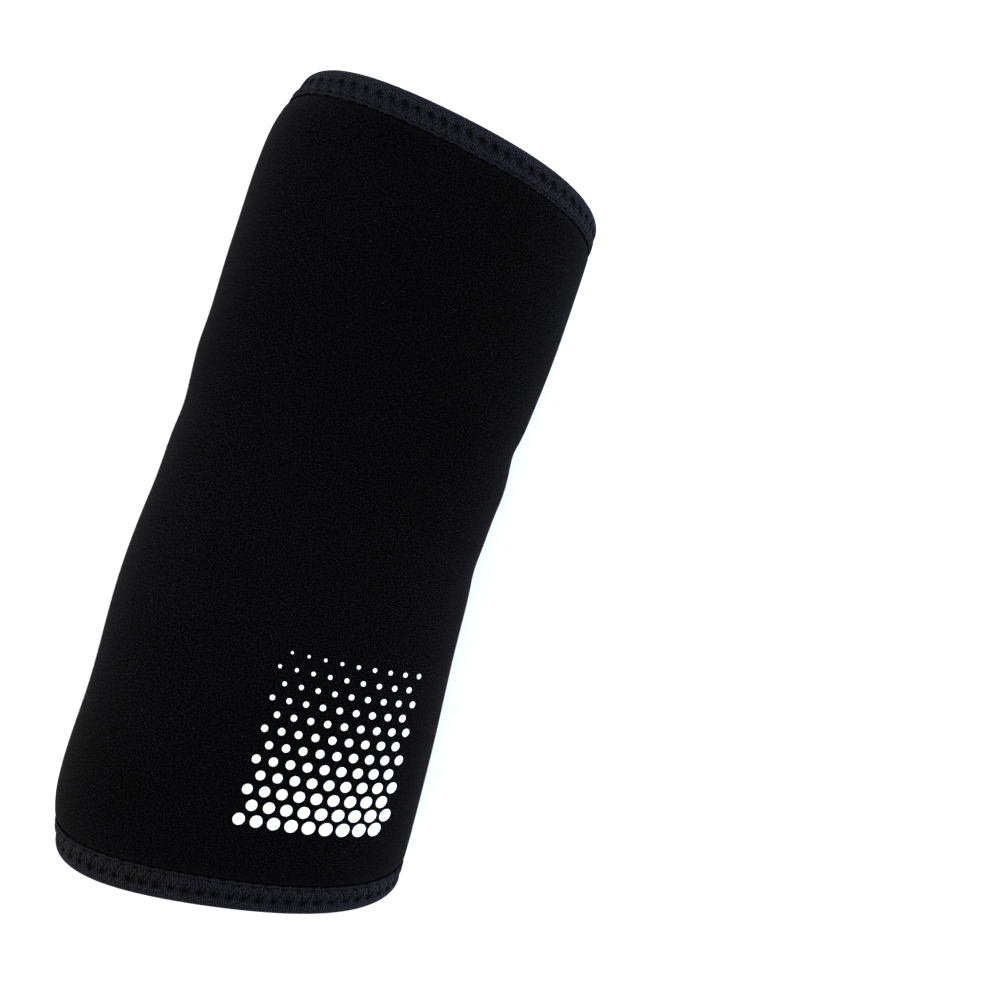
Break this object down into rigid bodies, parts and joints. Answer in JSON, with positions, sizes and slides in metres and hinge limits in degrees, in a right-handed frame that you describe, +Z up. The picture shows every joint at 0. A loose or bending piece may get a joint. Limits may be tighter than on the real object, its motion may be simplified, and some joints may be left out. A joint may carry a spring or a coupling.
{
  "type": "elbow brace",
  "caption": "Pull-on elbow brace: a pre-curved foam rubber sleeve, open at both ends, with a stretch binding folded over each rim, lying on its underside.",
  "frame": {"origin": "on the surface that it lies on, under the middle of the bounding box", "axes": "+Y along the sleeve towards the upper arm rim, +X across it, +Z up, with the outside of the elbow on top"},
  "size_m": [0.1082, 0.2464, 0.065],
  "materials": {
    "foam_jersey": "matte black nylon knit over foam rubber",
    "knitted_tape": "ribbed knit tape, a little lighter and bluer"
  },
  "bodies": {
    "root": {"sleeve": "foam_jersey", "upper_arm_binding": "knitted_tape", "forearm_binding": "knitted_tape"}
  },
  "joints": []
}
